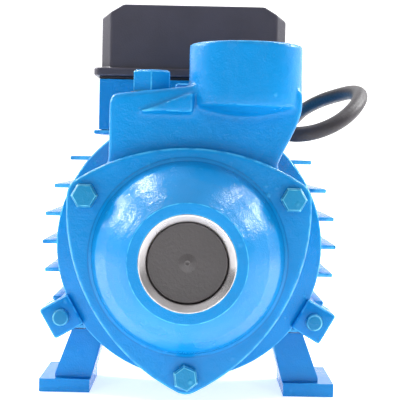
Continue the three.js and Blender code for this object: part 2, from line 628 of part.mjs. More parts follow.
const inBox = terminal.floorZ + clearance;
add('capacitor', rodZ(capacitor.radius, 0, capacitor.length, 0, 0).rotateY(Math.PI / 2)
  .translate(-capacitor.length / 2, rearY - wall - capacitor.radius - 2, inBox + capacitor.radius),
    greyPlastic);
const blockFront = frontY + wall + 12;
add('terminal_block', shaped(
  [box(-block.width / 2, block.width / 2, blockFront, blockFront + block.depth, inBox,
    inBox + block.height)],
  [-1, 0, 1].map((i) => rodZ(3, inBox + 5, inBox + block.height + 1, i * block.width / 3,
    blockFront + block.depth / 2, sides.tiny)),
), greyPlastic);

// ---- cable gland ----
const bodyFront = frontY - clearance - gland.bodyLength;
const nutFront = bodyFront - clearance - gland.nutLength;
const cableRoom = cable.radius + clearance;
add('gland_body', shaped(
  [
    plateY(hexagon(gland.flats), bodyFront, frontY - clearance),
    rodY(gland.thread, frontY - 1, frontY + wall + 4, 0, 0, sides.small),
  ],
  [rodY(cableRoom, bodyFront - 1, frontY + wall + 5, 0, 0, sides.small)],
).translate(gland.x, 0, gland.z), blackPlastic);
const nutShoulder = nutFront + gland.nutLength - 7;
add('gland_nut', shaped(
  [
    plateY(hexagon(gland.flats), nutShoulder, nutFront + gland.nutLength),
    turned([[0, nutFront], [gland.noseRadius, nutFront], [gland.flats / 2 - 0.3, nutShoulder + 1], [0,
      nutShoulder + 1]], sides.small),
  ],
  [rodY(cableRoom, nutFront - 1, bodyFront + 1, 0, 0, sides.small)],
).translate(gland.x, 0, gland.z), blackPlastic);

// ---- cable: a stretch from the gland over the fan cover to the ground, then a coil and a plug ----
const coilHeight = coil.layers * cable.spacing;
const coilTop = ground + coilHeight;
const onCoil = coilTop + clearance + cable.radius;
const cableRoute = [
  [22, 23.6, 60.5], [22.3, 16.9, 59.9], [24.1, 9, 57.4], [28.3, 2.6, 54.2], [34.6, -2, 51], [42, -4.4,
    48.9],
  [49.6, -5, 49.4], [57.1, -3.6, 51.8], [63.8, -0.3, 55.5], [69.4, 5.8, 60.2], [73.4, 15.7, 65], [74.8,
    28, 68.2],
  [73.3, 45, 69.7], [69.1, 61, 69.1], [63.1, 79, 67.2], [57, 97, 63.6], [52.8, 114, 58.6], [50, 130, 53],
  [47.8, 145, 48], [46, 157, 46.2], [44.4, 168.4, 41.6], [42.8, 176.6, 32], [42, 181.8, 19], [42.4,
    185.2, 3],
  [43.6, 188, -14], [45.4, 191.4, -31], [47.2, 196.4, -46], [48.8, 204.4, -56.8], [49.6, 213.6,
    ground + cable.radius],
];
add('cable', hoseAlong(cableRoute, cable.radius, cable.sides, 46), blackRubber);
const innerEdge = coil.innerTurn - cable.radius;
const outerEdge = coil.innerTurn + (coil.turns - 1) * cable.spacing + cable.radius;
add('cable_coil', uprightTurned([[innerEdge, ground], [outerEdge, ground], [outerEdge, coilTop],
  [innerEdge, coilTop]],
  coil.x, coil.y, sides.wide), blackRubber);

// ---- plug lying on the coil: a moulded body, its tapered relief and two round pins ----
const plugZ = coilTop + clearance + plug.halfHeight;
const plugFace = plug.rearY - plug.length;
const reliefRear = plug.rearY + plug.relief;
const faceOutline = cornered(plug.halfWidth, -plug.halfHeight, plug.halfHeight, 5);
const pins = [-1, 1].map((side) =>
  rodY(plug.pin, plugFace - plug.pinLength, plugFace + 1, side * plug.pinSpacing / 2, 0, sides.tiny));
add('plug', shaped([
  plateY(faceOutline, plugFace, plug.rearY),
  turned([[0, plug.rearY - 1], [cable.radius + 3, plug.rearY - 1], [cable.radius + 1, reliefRear], [0,
    reliefRear]], sides.small),
  ...pins,
]).translate(plug.x, 0, plugZ), blackRubber);
const tailRoute = [
  [-8, 268.6, onCoil + 0.3], [-17, 267.6, -46], [-26, 263.5, -43.2], [-33, 257, -41], [-37.2, 249,
    plugZ - 0.1],
  [plug.x, reliefRear + 2.5 * clearance, plugZ],
];
add('cable_tail', hoseAlong(tailRoute, cable.radius, cable.sides, 8), blackRubber);

export default pump;
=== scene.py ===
# Centrifugal water pump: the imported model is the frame, and the visible pieces are made around it.
import json
import math

import bpy
import bmesh
import numpy as np
from mathutils import Euler, Matrix, Vector


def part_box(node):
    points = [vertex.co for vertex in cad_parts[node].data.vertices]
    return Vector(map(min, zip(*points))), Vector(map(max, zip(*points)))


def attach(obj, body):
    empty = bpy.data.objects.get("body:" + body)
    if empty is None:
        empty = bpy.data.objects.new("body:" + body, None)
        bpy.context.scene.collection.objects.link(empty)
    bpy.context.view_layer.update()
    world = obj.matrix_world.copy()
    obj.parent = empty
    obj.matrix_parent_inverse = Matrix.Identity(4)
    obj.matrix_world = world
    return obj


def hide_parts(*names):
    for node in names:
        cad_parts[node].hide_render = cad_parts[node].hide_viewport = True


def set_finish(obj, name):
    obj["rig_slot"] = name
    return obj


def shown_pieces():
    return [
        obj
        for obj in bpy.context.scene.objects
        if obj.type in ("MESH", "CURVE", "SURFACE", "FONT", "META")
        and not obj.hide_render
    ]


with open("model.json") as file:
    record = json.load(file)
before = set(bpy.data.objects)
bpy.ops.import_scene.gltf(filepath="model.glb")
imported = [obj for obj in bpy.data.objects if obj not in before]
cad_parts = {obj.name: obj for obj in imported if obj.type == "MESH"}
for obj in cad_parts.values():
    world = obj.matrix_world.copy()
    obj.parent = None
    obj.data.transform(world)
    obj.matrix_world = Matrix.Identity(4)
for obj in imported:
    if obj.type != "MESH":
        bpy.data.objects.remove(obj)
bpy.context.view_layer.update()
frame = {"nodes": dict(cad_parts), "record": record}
mm = 0.001

# Places are worked out from the shaft's axis, as the CAD's are.
shaft = {
    "x": 0.0,
    "y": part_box("front_cover")[0][1] / mm + 75.0,
    "z": (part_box("front_bearing_outer_race")[0][2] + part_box("front_bearing_outer_race")[1][2]) / 2 / mm,
}


def place(points):
    # millimetres from the shaft's axis to metres in the row's frame
    points = np.asarray(points, dtype=float)
    return (points + [shaft["x"], shaft["y"], shaft["z"]]) * mm


# Camera.
cameraSet = {"at": (2.8, -475.0, 39.6), "lens": 100.4, "pitch": -2.35, "yaw": -0.18, "roll": 1.2}


def makeCamera():
    data = bpy.data.cameras.new("camera")
    data.lens = cameraSet["lens"]
    data.sensor_width = 36
    data.clip_end = 20
    camera = bpy.data.objects.new("camera", data)
    bpy.context.collection.objects.link(camera)
    look = Euler((math.radians(90 + cameraSet["pitch"]), 0, math.radians(cameraSet["yaw"])),
        "XYZ").to_matrix()
    look = look @ Matrix.Rotation(math.radians(cameraSet["roll"]), 3, "Z")
    camera.matrix_world = Matrix.Translation(Vector(place(cameraSet["at"]))) @ look.to_4x4()
    bpy.context.scene.camera = camera


makeCamera()
print("camera placed")

# Cord.
cordSet = {
    "radius": 3.3, "coilX": 0.0, "coilY": 224.0, "inner": 35.2, "step": 6.6, "ground": -65.5,
    "start": 50.6, "turnFrom": 4, "turnTo": 1146, "degreesApart": 12.0,
}
cableRoute = [
    (22, 23.6, 60.5), (22.3, 16.9, 59.9), (24.1, 9, 57.4), (28.3, 2.6, 54.2), (34.6, -2, 51),
    (42, -4.4, 48.9), (49.6, -5, 49.4), (57.1, -3.6, 51.8), (63.8, -0.3, 55.5), (69.4, 5.8, 60.2),
    (73.4, 15.7, 65), (74.8, 28, 68.2), (73.3, 45, 69.7), (69.1, 61, 69.1), (63.1, 79, 67.2),
    (57, 97, 63.6), (52.8, 114, 58.6), (50, 130, 53), (47.8, 145, 48), (46, 157, 46.2),
    (44.4, 168.4, 41.6), (42.8, 176.6, 32), (42, 181.8, 19), (42.4, 185.2, 3), (43.6, 188, -14),
    (45.4, 191.4, -31), (47.2, 196.4, -46), (48.8, 204.4, -56.8), (49.6, 213.6, -62.2),
]
tailRoute = [
    (-8, 268.6, -48.4), (-17, 267.6, -46), (-26, 263.5, -43.2), (-33, 257, -41), (-37.2, 249, -40.1),
    (-38.5, 240.75, -40),
]


def smoothstep(x, low, high):
    # 0 below low, 1 above high, and 3t^2 - 2t^3 between
    t = np.clip((x - low) / (high - low), 0, 1)
    return t * t * (3 - 2 * t)


def coilTurns():
    # turns round the coil's upright axis: the radius and the height step over at set angles, given in
    # degrees
    s = cordSet
    turn = np.arange(s["turnFrom"], s["turnTo"], s["degreesApart"])
    lower = s["ground"] + s["radius"]
    outer = s["inner"] + s["step"]
    radius = outer + (s["start"] - outer) * (1 - smoothstep(turn, -25, 58))
    radius = radius - s["step"] * smoothstep(turn, 330, 396) + s["step"] * smoothstep(turn, 1005, 1068)
    height = lower + s["step"] * smoothstep(turn, 655, 715) + 3.4 * smoothstep(turn, 1085, 1165)
    angle = np.radians(turn)
    return np.stack([s["coilX"] + radius * np.cos(angle), s["coilY"] + radius * np.sin(angle), height], 1)


def catmullRom(points, per):
    # Catmull-Rom: each span is the cubic through its ends with half the neighbours' chord as slope
    p = np.asarray(points, dtype=float)
    p = np.vstack([2 * p[0] - p[1], p, 2 * p[-1] - p[-2]])
    t = (np.arange(per) / per)[:, None, None]
    a, b, c, d = p[:-3], p[1:-2], p[2:-1], p[3:]
    spans = 0.5 * (2 * b + (c - a) * t + (2 * a - 5 * b + 4 * c - d) * t**2 + (3 * b - a - 3 * c + d) * t**3)
    return np.vstack([spans.transpose(1, 0, 2).reshape(-1, 3), p[-2]])


def meshFrom(name, points, faces, smooth=True):
    mesh = bpy.data.meshes.new(name)
    mesh.from_pydata(points.tolist(), [], faces)
    mesh.validate()
    mesh.update()
    if smooth:
        mesh.shade_smooth()
    piece = bpy.data.objects.new(name, mesh)
    bpy.context.collection.objects.link(piece)
    return piece


def gridFaces(rows, columns, closeRows, closeColumns):
    # quads of a grid of points, row by row, wrapped where it closes on itself
    r = np.arange(rows if closeRows else rows - 1)
    c = np.arange(columns if closeColumns else columns - 1)
    i, j = np.meshgrid(r, c, indexing="ij")
    nextI = (i + 1) % rows
    nextJ = (j + 1) % columns
    quads = np.stack([i * columns + j, i * columns + nextJ, nextI * columns + nextJ,
        nextI * columns + j], -1)
    return quads.reshape(-1, 4)


def tube(name, line, radius, around=16):
    # circles of the given radius, square to the line's tangent, turned as little as possible from one
    # to the next
    line = np.asarray(line)
    tangent = np.gradient(line, axis=0)
    tangent /= np.linalg.norm(tangent, axis=1)[:, None]
    normal = np.zeros_like(line)
    side = np.cross(tangent[0], [0.0, 0.0, 1.0])
    for k, direction in enumerate(tangent):
        side = side - direction * side.dot(direction)
        side /= np.linalg.norm(side)
        normal[k] = side
    other = np.cross(tangent, normal)
    angle = np.linspace(0, 2 * math.pi, around, endpoint=False)[None, :, None]
    radii = np.broadcast_to(np.asarray(radius, dtype=float), (len(line),))[:, None, None]
    rings = line[:, None] + radii * (np.cos(angle) * normal[:, None] + np.sin(angle) * other[:, None])
    points = rings.reshape(-1, 3)
    faces = gridFaces(len(line), around, False, True).tolist()
    faces += [list(range(around)), list(range(len(points) - 1, len(points) - around - 1, -1))]
    return meshFrom(name, points, faces)


def outward(piece):
    # merges doubles and turns every face outwards
    work = bmesh.new()
    work.from_mesh(piece.data)
    bmesh.ops.remove_doubles(work, verts=work.verts, dist=1e-6)
    bmesh.ops.recalc_face_normals(work, faces=work.faces)
    work.to_mesh(piece.data)
    work.free()
    return piece


cordLine = place(catmullRom(np.vstack([cableRoute, coilTurns(), tailRoute]), 6))
cord = outward(tube("cord", cordLine, cordSet["radius"] * mm, 14))
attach(cord, "root")
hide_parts("cable", "cable_coil", "cable_tail")
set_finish(cord, "black_rubber")


# Shapes.
def filleted(corners, steps=6, closed=True):
    # each corner (u, v, radius) becomes a curve from one side to the other: P1(1-s)^2 + 2P s(1-s) + P2 s^2
    corners = np.asarray([(c + (0,))[:3] for c in corners], dtype=float)
    count = len(corners)
    out = []
    for k in range(count):
        here, size = corners[k, :2], corners[k, 2]
        ends = (k == 0 or k == count - 1) and not closed
        if size <= 0 or ends:
            out.append(here[None])
            continue
        before = corners[(k - 1) % count, :2] - here
        after = corners[(k + 1) % count, :2] - here
        one, two = np.linalg.norm(before), np.linalg.norm(after)
        half = math.acos(np.clip(before.dot(after) / one / two, -1, 1)) / 2
        reach = min(size / max(math.tan(half), 1e-3), 0.48 * one, 0.48 * two)
        s = np.linspace(0, 1, steps)[:, None]
        p1, p2 = here + before / one * reach, here + after / two * reach
        out.append(p1 * (1 - s) ** 2 + 2 * here * s * (1 - s) + p2 * s**2)
    return np.vstack(out)


def finer(profile, gap, closed=True):
    # adds points along the profile's sides so that none is longer than the gap
    ends = np.vstack([profile, profile[:1]]) if closed else profile
    out = []
    for a, b in zip(ends[:-1], ends[1:]):
        n = max(1, int(np.ceil(np.linalg.norm(b - a) / gap)))
        out.append(a + (b - a) * (np.arange(n) / n)[:, None])
    if not closed:
        out.append(ends[-1:])
    return np.vstack(out)


def carried(name, profile, reach=None, columns=192, closed=True, upright=False, centre=(0, 0), gap=None):
    # a profile (s, y) carried round an axis: at angle t its radius is reach(s, t), or s itself when it
    # is round
    profile = np.asarray(profile, dtype=float)
    if gap:
        profile = finer(profile, gap, closed)
    t = np.linspace(0, 2 * math.pi, columns, endpoint=False)
    s, angle = np.meshgrid(profile[:, 0], t, indexing="ij")
    along = np.repeat(profile[:, 1][:, None], columns, 1)
    radius = reach(s, angle) if reach else s
    across, up = radius * np.cos(angle), radius * np.sin(angle)
    if upright:
        grid = np.stack([centre[0] + across, centre[1] + up, along], -1)
    else:
        grid = np.stack([centre[0] + across, along, centre[1] + up], -1)
    faces = gridFaces(len(profile), columns, closed, True).tolist()
    return outward(meshFrom(name, place(grid.reshape(-1, 3)), faces))


flange = {"lobeAt": 46.0, "lobe": 7.0, "middle": 42.0}


def triangleReach(t):
    # the flange's outline: three lobes and the wide arcs that touch them, as a distance from the axis
    # at angle t
    a, r, mid = flange["lobeAt"], flange["lobe"], flange["middle"]
    c = ((mid - r) ** 2 - a * a) / (a - 2 * (mid - r))
    half = math.atan2(a * math.sin(math.pi / 3), c + a / 2)
    touch = math.atan2((c + mid) * math.sin(half), (c + mid) * math.cos(half) - c)
    third = 2 * math.pi / 3
    fromMid = (t - math.radians(90) + third / 2) % third - third / 2
    fromLobe = third / 2 - np.abs(fromMid)
    side = np.sqrt((c + mid) ** 2 - (c * np.sin(fromMid)) ** 2) - c * np.cos(fromMid)
    lobe = a * np.cos(fromLobe) + np.sqrt(np.maximum(r * r - (a * np.sin(fromLobe)) ** 2, 0))
    return np.where(np.abs(fromMid) < touch, side, lobe)


def softened(values, width):
    # a periodic row of numbers, averaged with a bell curve of the given width in steps
    k = np.arange(-3 * width, 3 * width + 1)
    bell = np.exp(-0.5 * (k / width) ** 2)
    bell /= bell.sum()
    return sum(weight * np.roll(values, shift) for weight, shift in zip(bell, k))


def hexReach(flats, drawnIn=0.06):
    # the distance to a hexagon's side at angle t, its corners drawn in a little
    def reach(s, t):
        fold = (t + math.pi / 6) % (math.pi / 3) - math.pi / 6
        side = flats / 2 / np.cos(fold)
        return s * (side - drawnIn * flats * (side / (flats / 2) - 1) ** 2) / (flats / 2)

    return reach


def finished(piece, body, slotName, *nodes):
    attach(piece, body)
    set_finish(piece, slotName)
    if nodes:
        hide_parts(*nodes)
    return piece


def joined(name, parts):
    # several meshes in one piece
    work = bmesh.new()
    for part in parts:
        work.from_mesh(part.data)
        bpy.data.objects.remove(part)
    mesh = bpy.data.meshes.new(name)
    work.to_mesh(mesh)
    work.free()
    mesh.shade_smooth()
    piece = bpy.data.objects.new(name, mesh)
    bpy.context.collection.objects.link(piece)
    return piece


def applied(piece):
    # the piece with its modifiers made real
    bpy.context.view_layer.update()
    graph = bpy.context.evaluated_depsgraph_get()
    mesh = bpy.data.meshes.new_from_object(piece.evaluated_get(graph))
    piece.modifiers.clear()
    piece.data = mesh
    return piece


def cast(piece, voxel, passes):
    # melts overlapping shapes into one skin and rounds its creases, as a casting's are
    remesh = piece.modifiers.new("melt", "REMESH")
    remesh.mode = "VOXEL"
    remesh.voxel_size = voxel * mm
    smooth = piece.modifiers.new("round", "SMOOTH")
    smooth.factor = 0.5
    smooth.iterations = passes
    applied(piece)
    piece.data.shade_smooth()
    return piece


def bevelled(name, node, width, segments=3, angle=25):
    # a copy of a flat-sided part with its edges rounded
    source = frame["nodes"][node]
    work = bmesh.new()
    work.from_mesh(source.data)
    work.transform(source.matrix_world)
    bmesh.ops.remove_doubles(work, verts=work.verts, dist=2e-6)
    bmesh.ops.dissolve_limit(work, angle_limit=math.radians(1), verts=work.verts, edges=work.edges)
    mesh = bpy.data.meshes.new(name)
    work.to_mesh(mesh)
    work.free()
    piece = bpy.data.objects.new(name, mesh)
    bpy.context.collection.objects.link(piece)
    bevel = piece.modifiers.new("edges", "BEVEL")
    bevel.width = width * mm
    bevel.segments = segments
    bevel.limit_method = "ANGLE"
    bevel.angle_limit = math.radians(angle)
    applied(piece)
    piece.data.shade_smooth()
    piece.modifiers.new("shading", "WEIGHTED_NORMAL").keep_sharp = True
    return applied(piece)


def block(name, low, high, turn=0.0, bevel=0.6):
    # a box between two corners, turned about the shaft, with rounded edges
    corners = np.array([(x, y, z) for x in (0, 1) for y in (0, 1) for z in (0, 1)], dtype=float)
    points = np.asarray(low) + corners * (np.asarray(high) - np.asarray(low))
    c, s = math.cos(turn), math.sin(turn)
    x, y, z = points.T
    points = np.stack([x * c - z * s, y, x * s + z * c], 1)
    faces = [[0, 1, 3, 2], [4, 6, 7, 5], [0, 4, 5, 1], [2, 3, 7, 6], [0, 2, 6, 4], [1, 5, 7, 3]]
    piece = outward(meshFrom(name, place(points), faces, False))
    rounding = piece.modifiers.new("edges", "BEVEL")
    rounding.width = bevel * mm
    rounding.segments = 3
    applied(piece)
    piece.data.shade_smooth()
    return piece


# Front cover.
cover = {"flangeRim": 44.0, "face": 22.0, "base": 36.9, "ring": 17.95, "foot": 38.4, "stepped": 41.8}


def coverReach(s, t):
    # round up to the dome's foot, then stepped out to the three-lobed outline
    return s + (triangleReach(t) - cover["flangeRim"]) * smoothstep(s, cover["foot"], cover["stepped"])


coverProfile = filleted([
    (cover["ring"], -40), (cover["ring"], -74.9, 0.15), (cover["face"], -75, 0.5), (25.0, -71.6, 3),
    (30.4, -64.8, 9), (34.9, -57.2, 6), (cover["base"], -51.2, 1.2), (38.3, -50, 1.4),
    (cover["flangeRim"], -50, 1.5), (cover["flangeRim"], -43, 0.6), (35.7, -43), (35.7, -40),
])
frontCover = carried("frontCover", coverProfile, coverReach, 540, gap=0.8)
finished(frontCover, "root", "blue_enamel", "front_cover")

ringProfile = [(15.1, -41), (15.1, -72.4), (15.5, -72.9), (17.5, -74.75), (17.9, -74.9), (17.9, -70),
    (17.9, -41)]
suctionRing = carried("suctionRing", finer(np.array(ringProfile), 0.6), None, 160)
finished(suctionRing, "root", "steel")

plugProfile = filleted([
    (0, -71.7), (0.9, -72.1, 0.4), (3.4, -71.45, 1.2), (14.3, -71.35, 0.4), (14.75, -71, 0.3),
    (14.75, -62, 0.3), (13.4, -62, 0.3), (13.4, -69.6, 0.8), (0, -69.6),
], 5, False)
suctionPlug = carried("suctionPlug", plugProfile, None, 128, closed=False, gap=0.7)
finished(suctionPlug, "suction_plug", "grey_plastic", "suction_plug")
print("front cover made")

# Casing with the discharge boss.
casing = {"rim": 44.0, "front": -42.7, "back": -8.3, "voxel": 0.85, "passes": 5, "throat": 9.5}
boss = {"x": 21.2, "y": -32.0, "radius": 22.3, "top": 82.9}


def casingOutline(columns):
    # the larger of the three-lobed outline and the shoulder's straight sides, with its corners softened
    t = np.linspace(0, 2 * math.pi, columns, endpoint=False)
    sides = [((-31.7, 20), (-31.7, 62.3)), ((-31.7, 62.3), (2.8, 66.5)), ((2.8, 66.5), (43.2, 66.5)),
        ((43.2, 66.5), (43.2, 55.2)), ((43.2, 55.2), (34.3, 37.2))]
    reach = np.full(columns, 200.0)
    for (x0, z0), (x1, z1) in sides:
        nx, nz = -(z1 - z0), x1 - x0
        size = math.hypot(nx, nz)
        distance = (nx * x0 + nz * z0) / size
        facing = (nx * np.cos(t) + nz * np.sin(t)) / size
        reach = np.where(facing > 1e-3, np.minimum(reach, distance / np.maximum(facing, 1e-3)), reach)
    reach = np.where(np.sin(t) > 0.2, reach, 0)
    return softened(np.maximum(reach, triangleReach(t)), max(1, columns // 300))


casingColumns = 900
casingEdge = casingOutline(casingColumns)


def casingReach(s, t):
    # round up to 30, then stepped out to the casing's outline, reached at 40
    return s + (casingEdge[None, :] - casing["rim"]) * smoothstep(s, 30, 40)


casingProfile = filleted([
    (0, casing["front"]), (casing["rim"], casing["front"], 2.6), (casing["rim"], casing["back"], 2.4),
    (0, casing["back"]),
], 6, False)
body = carried("casingBody", casingProfile, casingReach, casingColumns, closed=False, gap=1.6)
bossProfile = filleted([
    (0, 52.5), (6, 53.4, 1), (boss["radius"] - 0.3, 58.3, 0.6), (boss["radius"], 62),
    (boss["radius"], boss["top"], 1.2), (18.0, boss["top"], 0.2), (18.0, 62), (0, 62),
], 6, False)
bossPart = carried("boss", bossProfile, None, 240, closed=False, upright=True,
    centre=(boss["x"], boss["y"]), gap=1.2)
gusset = meshFrom("gusset", place([
    (-20.4, -44.6, 55.6), (0.65, -45.6, 55.6), (0.65, -45.6, 63.4), (-20.4, -41, 55.6),
    (0.65, -41, 55.6), (0.65, -41, 63.4),
]), [[0, 1, 2], [5, 4, 3], [0, 3, 4, 1], [1, 4, 5, 2], [2, 5, 3, 0]], False)
pumpCasing = cast(joined("pumpCasing", [body, bossPart, outward(gusset)]), casing["voxel"],
    casing["passes"])
throat = carried("throat", np.array([(0, 40), (casing["throat"], 40), (casing["throat"], 70), (0, 70)]),
    None, 64, closed=False, upright=True, centre=(boss["x"], boss["y"]))
chamber = carried("chamber", np.array([(0, -43.5), (36, -43.5), (36, -22), (0, -22)]), None, 96,
    closed=False)
for tool in (throat, chamber):
    cut = pumpCasing.modifiers.new("cut", "BOOLEAN")
    cut.operation = "DIFFERENCE"
    cut.solver = "EXACT"
    cut.object = tool
    applied(pumpCasing)
    bpy.data.objects.remove(tool)
finished(pumpCasing, "root", "blue_enamel", "pump_casing")

thread = {"pitch": 2.309, "depth": 0.65, "minor": 15.2, "top": 82.2, "length": 17.5, "step": 0.2}
threadRows = np.arange(0, thread["length"], thread["step"])
threadDepth = thread["depth"] * np.abs((threadRows / thread["pitch"]) % 1 * 2 - 1)
threadSide = np.stack([thread["minor"] + threadDepth, thread["top"] - threadRows], 1)
threadProfile = np.vstack([
    [(17.9, 62.4), (17.9, 82.75), (17.4, 82.75)], threadSide, [(thread["minor"], 62.4)],
])
dischargeRing = carried("dischargeRing", threadProfile, None, 160, upright=True,
    centre=(boss["x"], boss["y"]))
finished(dischargeRing, "root", "steel")
print("casing made")

# Bolts and priming plug.
boltSet = {"flats": 8.8, "circle": 46.0, "seat": -50.3, "height": 3.6, "turns": {30: 0, 150: 0, 270: 38}}


def hexHead(name, flats, seat, height, centre, turn, upright=False):
    # a hexagon whose outer end is cut by a cone
    way = 1 if upright else -1
    profile = filleted([
        (0, seat), (flats / 2, seat, 0.1), (flats / 2, seat + way * (height - 0.8), 0.25),
        (flats / 2 * 0.86, seat + way * height, 0.3), (0, seat + way * height),
    ], 4, False)
    reach = hexReach(flats)
    return carried(name, profile, lambda s, t: reach(s, t - math.radians(turn)), 120, closed=False,
        upright=upright, centre=centre, gap=0.6)


for number, (angle, turn) in enumerate(boltSet["turns"].items(), 1):
    centre = (boltSet["circle"] * math.cos(math.radians(angle)),
        boltSet["circle"] * math.sin(math.radians(angle)))
    head = hexHead(f"boltHead{number}", boltSet["flats"], boltSet["seat"], boltSet["height"], centre,
        turn + 90)
    shank = carried(f"boltShank{number}", np.array([(0, -51), (2.5, -51), (2.5, -29), (0, -29)]), None,
        32, closed=False, centre=centre)
    finished(joined(f"coverBolt{number}", [head, shank]), "root", "teal_enamel", f"cover_bolt_{number}")

primer = {"x": -15.8, "y": -30.0, "flats": 14.2, "seat": 63.9, "top": 72.4}
primerHead = hexHead("primerHead", primer["flats"], primer["seat"], primer["top"] - primer["seat"],
    (primer["x"], primer["y"]), 0, True)
primerStem = carried("primerStem", np.array([(0, 51.6), (6.3, 51.6), (6.3, 64.5), (0, 64.5)]), None, 48,
    closed=False, upright=True, centre=(primer["x"], primer["y"]))
finished(joined("primingPlug", [primerHead, primerStem]), "priming_plug", "blue_enamel", "priming_plug")

# Motor bracket.
lugs = {"angles": (90, 210, 330), "half": 7.15, "boltCircle": 62.5}
bracketProfile = filleted([
    (14, -8), (34, -8, 1), (34, -2.5, 2.5), (46, -0.4, 3), (56.9, 3.3, 1.2), (57.7, 12, 0.4), (54, 12),
    (54, 4), (21, 4), (21, 14), (16.3, 14), (16.3, 1.3), (8, 1.3), (8, -1.5), (14, -1.5),
])
parts = [carried("shell", bracketProfile, None, 320, gap=1.5)]
for angle in lugs["angles"]:
    parts.append(block("lug", (55.5, 0.1, -lugs["half"]), (69.5, 9, lugs["half"]), math.radians(angle), 1.1))
finished(joined("motorBracket", parts), "root", "blue_enamel", "front_bracket")
for number, angle in enumerate(lugs["angles"], 1):
    far = lugs["boltCircle"]
    centre = (far * math.cos(math.radians(angle)), far * math.sin(math.radians(angle)))
    profile = filleted([(0, -3.3), (3.3, -3.2, 0.9), (3.7, -0.3, 0.2), (2.5, -0.3), (2.5, 19), (0, 19)],
        5, False)
    finished(carried(f"bracketBolt{number}", profile, None, 64, closed=False, centre=centre), "root",
        "teal_enamel", f"bracket_bolt_{number}")

# Motor frame.
motor = {
    "bore": 52.0, "core": 56.5, "front": 12.3, "rear": 110.0, "fin": 64.3, "pitch": 12.3, "finHalf": 0.85,
}
parts = [carried("core", filleted([
    (motor["bore"], motor["front"]), (motor["core"], motor["front"], 0.4),
    (motor["core"], motor["rear"], 0.4), (motor["bore"], motor["rear"]),
]), None, 256, gap=4)]
for row in range(-3, 4):
    z = row * motor["pitch"]
    inner, outer = math.sqrt(54.5**2 - z * z), math.sqrt(motor["fin"] ** 2 - z * z)
    for low, high in ((inner, outer), (-outer, -inner)):
        parts.append(block("fin", (low, motor["front"], z - motor["finHalf"]),
            (high, motor["rear"], z + motor["finHalf"]), 0, 0.5))
parts.append(block("topFin", (-45.5, 44, 48.1), (45.5, 110, 49.9), 0, 0.5))
for angle in lugs["angles"]:
    low, high = (52, 12.4, -lugs["half"]), (69, 22, lugs["half"])
    parts.append(block("frameLug", low, high, math.radians(angle), 1.0))
finished(joined("motorFrame", parts), "root", "blue_enamel", "motor_frame")
for side in ("left", "right"):
    finished(bevelled(f"{side}Foot", f"foot_{side}", 0.9, 4), "root", "blue_enamel", f"foot_{side}")
print("motor frame made")

# Rear shield and fan cover.
shieldProfile = filleted([(16.3, 107), (21, 107), (21, 110.3), (56.5, 110.3, 0.6), (56.5, 117, 0.6),
    (21, 117, 1), (21, 121, 0.6), (8, 121), (8, 118.3), (16.3, 118.3)])
finished(carried("rearShield", shieldProfile, None, 224, gap=3), "root", "blue_enamel", "rear_end_shield")
fanCover = {"radius": 60.0, "front": 112.0, "rear": 165.0, "slots": 12, "wall": 1.4, "slotHalf": 5,
    "slotFrom": 18.0, "slotTo": 49.0}


def fanCoverShell():
    # a turned cup, its back plate left out wherever a wedge-shaped slot falls
    c = fanCover
    profile = filleted([(c["radius"], c["front"]), (c["radius"], c["rear"], 5), (0, c["rear"])], 12, False)
    profile = finer(profile, 1.5, False)
    columns = 360
    t = np.linspace(0, 2 * math.pi, columns, endpoint=False)
    s, angle = np.meshgrid(profile[:, 0], t, indexing="ij")
    grid = np.stack([s * np.cos(angle), np.repeat(profile[:, 1][:, None], columns, 1),
        s * np.sin(angle)], -1)
    faces = gridFaces(len(profile), columns, False, True)
    row, column = faces[:, 0] // columns, faces[:, 0] % columns
    sector = columns / c["slots"]
    inSlot = np.abs((column + 0.5) % sector - sector / 2) < c["slotHalf"]
    isOpen = inSlot & (profile[row, 0] < c["slotTo"]) & (profile[row, 0] > c["slotFrom"])
    piece = meshFrom("fanCover", place(grid.reshape(-1, 3)), faces[~isOpen].tolist())
    outward(piece)
    wall = piece.modifiers.new("wall", "SOLIDIFY")
    wall.thickness = c["wall"] * mm
    wall.offset = -1
    return applied(piece)


finished(fanCoverShell(), "root", "blue_enamel", "fan_cover")

# Terminal box, gland and plug.
finished(bevelled("terminalBase", "terminal_base", 0.8), "root", "blue_enamel", "terminal_base")
finished(bevelled("terminalLid", "terminal_lid", 0.8, 4, 20), "root", "black_plastic", "terminal_lid")
glandNut = finished(bevelled("glandNut", "gland_nut", 0.3), "root", "black_plastic", "gland_nut")
finished(bevelled("glandBody", "gland_body", 0.4), "root", "black_plastic", "gland_body")
mainsPlug = finished(bevelled("mainsPlug", "plug", 1.2, 4), "root", "black_rubber", "plug")
print("terminal box and plug made")

# Shared effects.
def newGroup(name, inputs, outputs):
    # an empty shader group with its sockets made; returns it with its input and output nodes
    group = bpy.data.node_groups.new(name, "ShaderNodeTree")
    for label, kind, value in inputs:
        group.interface.new_socket(label, in_out="INPUT", socket_type=kind).default_value = value
    for label, kind in outputs:
        group.interface.new_socket(label, in_out="OUTPUT", socket_type=kind)
    return group, group.nodes.new("NodeGroupInput"), group.nodes.new("NodeGroupOutput")


def objectNoise(tree, scale, detail, roughness=0.5):
    # noise laid out in the object's own metres; scale is in lumps to the metre
    where = tree.nodes.new("ShaderNodeTexCoord")
    noise = tree.nodes.new("ShaderNodeTexNoise")
    noise.inputs["Detail"].default_value = detail
    noise.inputs["Roughness"].default_value = roughness
    tree.links.new(where.outputs["Object"], noise.inputs["Vector"])
    if isinstance(scale, (int, float)):
        noise.inputs["Scale"].default_value = scale
    else:
        tree.links.new(scale, noise.inputs["Scale"])
    return noise.outputs[0]


